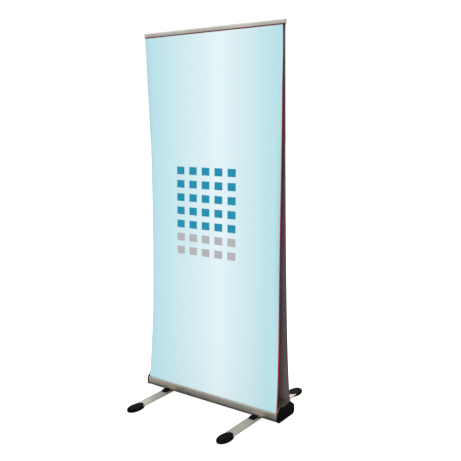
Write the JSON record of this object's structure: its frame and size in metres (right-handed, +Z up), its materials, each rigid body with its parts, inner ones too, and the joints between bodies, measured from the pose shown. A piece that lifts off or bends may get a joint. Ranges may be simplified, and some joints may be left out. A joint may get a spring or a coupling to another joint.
{
  "type": "double-sided roll-up banner stand",
  "caption": "Freestanding banner stand: two printed sheets rise from sprung rollers in a floor cassette to top rails on a telescopic pole, on clip-on flat feet.",
  "frame": {"origin": "on the floor, under the middle of the cassette", "axes": "+X along the cassette to its right end seen from the front, -Y towards the front sheet, +Z up"},
  "size_m": [0.939, 0.812, 2.0985],
  "materials": {
    "cassette_aluminium": "satin anodised extrusion with fine lengthwise drawing lines",
    "moulded_black": "fine-textured black nylon",
    "pole_black": "ribbed black nylon",
    "foot_cap_black": "smooth satin black moulding",
    "zinc_steel": "zinc plated",
    "black_steel": "black zinc plated",
    "spring_steel": "oiled spring wire",
    "roller_aluminium": "mill finish",
    "leader_film": "milky polyester film",
    "white_plastic": "natural acetal",
    "front_print": "satin print, pale blue at the sides fading to near white in the middle",
    "rear_print": "satin print outside, grey blockout backing inside",
    "pole_aluminium": "drawn and anodised tube",
    "rail_aluminium": "satin anodised extrusion",
    "grey_plastic": "moulded grey end plug",
    "foot_aluminium": "satin anodised flat bar",
    "pad_rubber": "soft black rubber"
  },
  "bodies": {
    "root": {"cassette_body": "cassette_aluminium", "end_cap_left": "moulded_black", "end_cap_right": "moulded_black", "end_cap_screws": "black_steel", "front_spring_shaft": "zinc_steel", "rear_spring_shaft": "zinc_steel", "front_idler_bush": "white_plastic", "rear_idler_bush": "white_plastic", "front_leader": "leader_film", "rear_leader": "leader_film", "front_banner": "front_print", "rear_banner": "rear_print", "pole_socket": "pole_black", "pole_socket_screws": "black_steel", "pole_lower_tube": "pole_aluminium"},
    "front_roller": {"front_roller_tube": "roller_aluminium", "front_leader_roll": "leader_film", "front_spring_plug": "white_plastic", "front_idler_plug": "white_plastic", "front_spring": "spring_steel"},
    "rear_roller": {"rear_roller_tube": "roller_aluminium", "rear_leader_roll": "leader_film", "rear_spring_plug": "white_plastic", "rear_idler_plug": "white_plastic", "rear_spring": "spring_steel"},
    "lower_collar": {"lower_lock_collar": "pole_black"},
    "pole_middle": {"pole_middle_tube": "pole_aluminium"},
    "upper_collar": {"upper_lock_collar": "pole_black"},
    "pole_upper": {"pole_upper_tube": "pole_aluminium", "pole_head": "pole_black", "front_top_rail": "rail_aluminium", "rear_top_rail": "rail_aluminium", "front_rail_plugs": "grey_plastic", "rear_rail_plugs": "grey_plastic", "front_grip_strip": "moulded_black", "rear_grip_strip": "moulded_black"},
    "foot_left": {"foot_bar_left": "foot_aluminium", "foot_bracket_left": "moulded_black", "foot_rivets_left": "zinc_steel", "foot_cap_left_front": "foot_cap_black", "foot_cap_left_rear": "foot_cap_black", "foot_pads_left": "pad_rubber"},
    "foot_right": {"foot_bar_right": "foot_aluminium", "foot_bracket_right": "moulded_black", "foot_rivets_right": "zinc_steel", "foot_cap_right_front": "foot_cap_black", "foot_cap_right_rear": "foot_cap_black", "foot_pads_right": "pad_rubber"}
  },
  "joints": [
    {"name": "pole_collapse", "type": "slide", "parent": "root", "child": "pole_middle", "axis": [0, 0, -1], "range_m": [0, 0.6], "deforming": ["front_banner", "rear_banner"]},
    {"name": "pole_upper_slide", "type": "slide", "parent": "pole_middle", "child": "pole_upper", "axis": [0, 0, -1], "range_m": [0, 0.6]},
    {"name": "front_roller_spin", "type": "hinge", "parent": "root", "child": "front_roller", "pos_m": [0, -0.044, 0.066], "axis": [1, 0, 0], "range_deg": [0, 3600]},
    {"name": "rear_roller_spin", "type": "hinge", "parent": "root", "child": "rear_roller", "pos_m": [0, 0.044, 0.066], "axis": [1, 0, 0], "range_deg": [-3600, 0]},
    {"name": "lower_collar_twist", "type": "hinge", "parent": "root", "child": "lower_collar", "pos_m": [0, 0, 0.75], "axis": [0, 0, 1], "range_deg": [0, 90]},
    {"name": "upper_collar_twist", "type": "hinge", "parent": "pole_middle", "child": "upper_collar", "pos_m": [0, 0, 1.4], "axis": [0, 0, 1], "range_deg": [0, 90]},
    {"name": "foot_left_slide", "type": "slide", "parent": "root", "child": "foot_left", "axis": [1, 0, 0], "range_m": [-0.1, 0.22]},
    {"name": "foot_right_slide", "type": "slide", "parent": "root", "child": "foot_right", "axis": [-1, 0, 0], "range_m": [-0.1, 0.22]}
  ],
  "couplings": [
    {"joint": "pole_upper_slide", "follows": "pole_collapse", "ratio": 1},
    {"joint": "front_roller_spin", "follows": "pole_collapse", "rad_per_m": 104},
    {"joint": "rear_roller_spin", "follows": "pole_collapse", "rad_per_m": -104}
  ]
}
